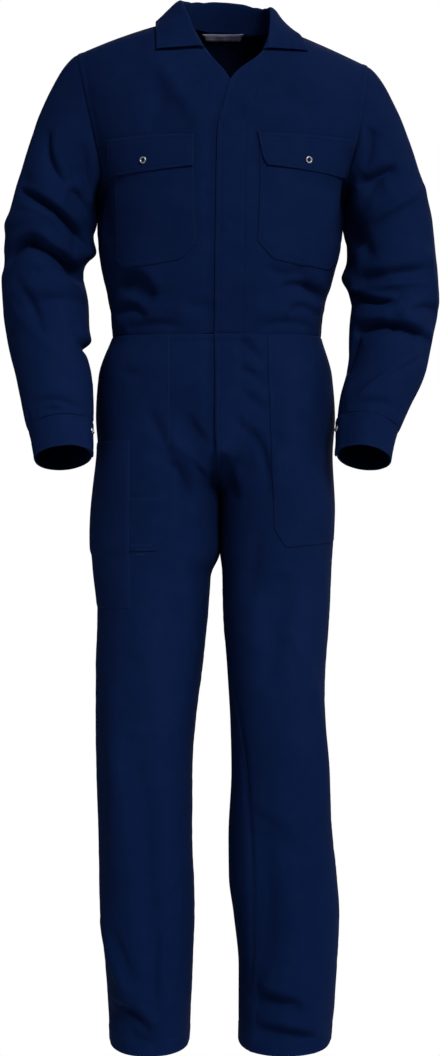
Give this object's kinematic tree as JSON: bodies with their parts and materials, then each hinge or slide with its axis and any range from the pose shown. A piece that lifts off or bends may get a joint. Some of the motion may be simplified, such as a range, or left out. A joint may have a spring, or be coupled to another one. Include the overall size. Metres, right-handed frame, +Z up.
{
  "type": "boiler suit",
  "caption": "Navy twill boiler suit on a hollow standing figure: convertible collar, concealed fly, chest pockets with snapped flaps, hip and rule pockets, snapped cuffs.",
  "frame": {"origin": "Inside the neck at the middle of the shoulder line, where the garment is carried by the shoulders of who wears it.", "axes": "+Z up; the front faces -Y; +X is the wearer's left."},
  "size_m": [0.6652, 0.2764, 1.5991],
  "materials": {
    "twill": "matt navy work twill with a soft dry sheen",
    "label_tape": "plain grey woven tape, no print",
    "snap_metal": "satin nickel ring snap with a dark sunk middle"
  },
  "bodies": {
    "root": {"back_upper": "twill", "collar": "twill", "front_right": "twill", "front_left": "twill", "sleeve_right": "twill", "sleeve_left": "twill", "cuff_right": "twill", "cuff_left": "twill", "chest_pocket_right": "twill", "chest_pocket_left": "twill", "chest_flap_right": "twill", "chest_flap_left": "twill", "trouser_front_right": "twill", "trouser_front_left": "twill", "trouser_back_right": "twill", "trouser_back_left": "twill", "hip_pocket_right": "twill", "hip_pocket_left": "twill", "rule_pocket": "twill", "neck_label": "label_tape", "snap_chest_right": "snap_metal", "snap_chest_left": "snap_metal", "snap_cuff_right": "snap_metal", "snap_cuff_left": "snap_metal"}
  },
  "joints": []
}
